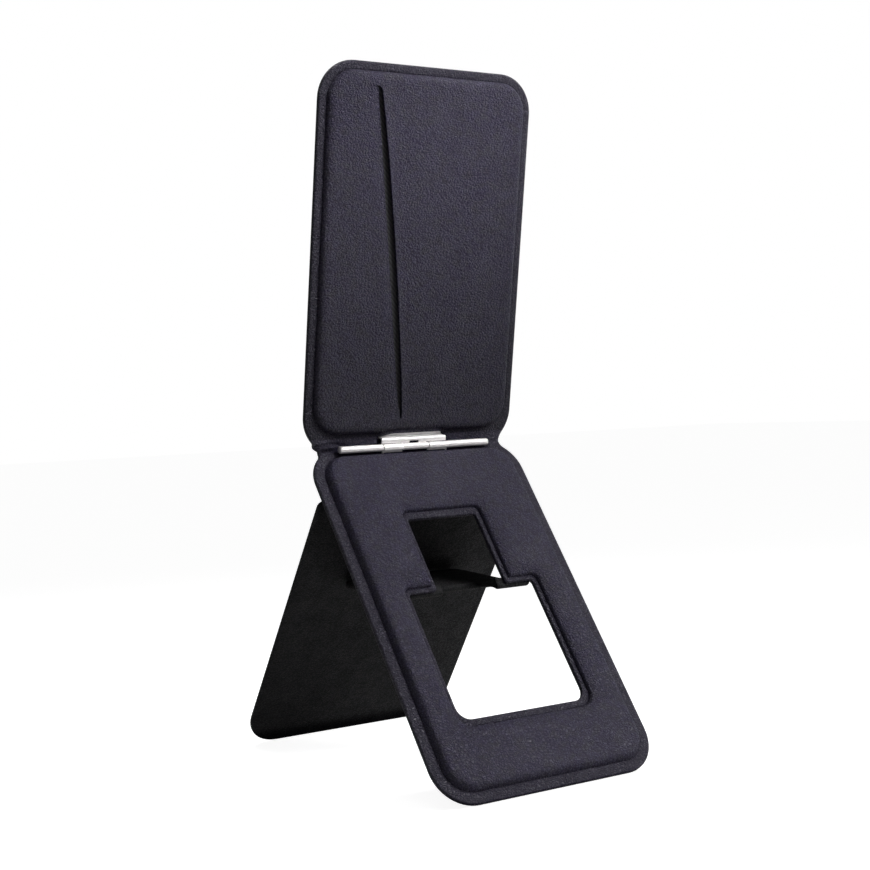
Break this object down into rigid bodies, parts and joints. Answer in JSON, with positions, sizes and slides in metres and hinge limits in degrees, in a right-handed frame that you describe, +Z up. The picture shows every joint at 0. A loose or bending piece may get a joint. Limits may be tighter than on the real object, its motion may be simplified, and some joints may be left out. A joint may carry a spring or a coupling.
{
  "type": "phone stand",
  "caption": "Folding leather phone stand with a magnetic upper panel and card pocket on a steel friction hinge, a windowed lower panel, a rear leg and a bracing strut flap.",
  "frame": {"origin": "on the desk plane, straight below the middle of the main hinge axis", "axes": "+X along the hinge to the right seen from the front, -Y towards the front where the lower panel slopes down to the desk, +Z up from the desk"},
  "size_m": [0.065, 0.1013, 0.1794],
  "materials": {
    "panel_leather": "fine pebbled grain, satin",
    "leg_leather": "smooth fine grain, matte",
    "pocket_cloth": "fine twill",
    "board": "pressed fibreboard, raw",
    "magnet": "nickel plated",
    "plate_steel": "mill finish",
    "hinge_steel": "bright satin"
  },
  "bodies": {
    "lower_panel": {"frame_front_leather": "panel_leather", "frame_back_leather": "panel_leather", "frame_board": "board", "lower_hinge_leaf": "hinge_steel", "lower_leaf_rivets": "hinge_steel", "hinge_pin": "hinge_steel", "hinge_sleeves": "hinge_steel", "latch_magnets": "magnet", "leg_hinge_strip": "leg_leather"},
    "upper_panel": {"upper_front_leather": "panel_leather", "upper_back_leather": "panel_leather", "card_pocket_lining": "pocket_cloth", "upper_board": "board", "magnet_ring": "magnet", "magnet_shield": "plate_steel", "alignment_magnet": "magnet", "upper_hinge_leaf": "hinge_steel", "upper_leaf_rivets": "hinge_steel"},
    "rear_leg": {"leg_inner_leather": "leg_leather", "leg_outer_leather": "leg_leather", "leg_board": "board", "leg_keeper_plates": "plate_steel", "strut_catch_plate": "plate_steel"},
    "strut": {"strut_upper_leather": "leg_leather", "strut_lower_leather": "leg_leather", "strut_board": "board", "strut_magnets": "magnet"}
  },
  "joints": [
    {"name": "panel_hinge", "type": "hinge", "parent": "lower_panel", "child": "upper_panel", "pos_m": [0, 0, 0.08183], "axis": [1, 0, 0], "range_deg": [-45.9, 134]},
    {"name": "leg_fold", "type": "hinge", "parent": "lower_panel", "child": "rear_leg", "pos_m": [0, -0.00517, 0.06929], "axis": [1, 0, 0], "range_deg": [-70.9, 0]},
    {"name": "strut_fold", "type": "hinge", "parent": "lower_panel", "child": "strut", "pos_m": [0, -0.02279, 0.04508], "axis": [1, 0, 0], "range_deg": [-129.1, 0]}
  ],
  "couplings": [
    {"joint": "strut_fold", "follows": "leg_fold", "ratio": 1.8197}
  ]
}
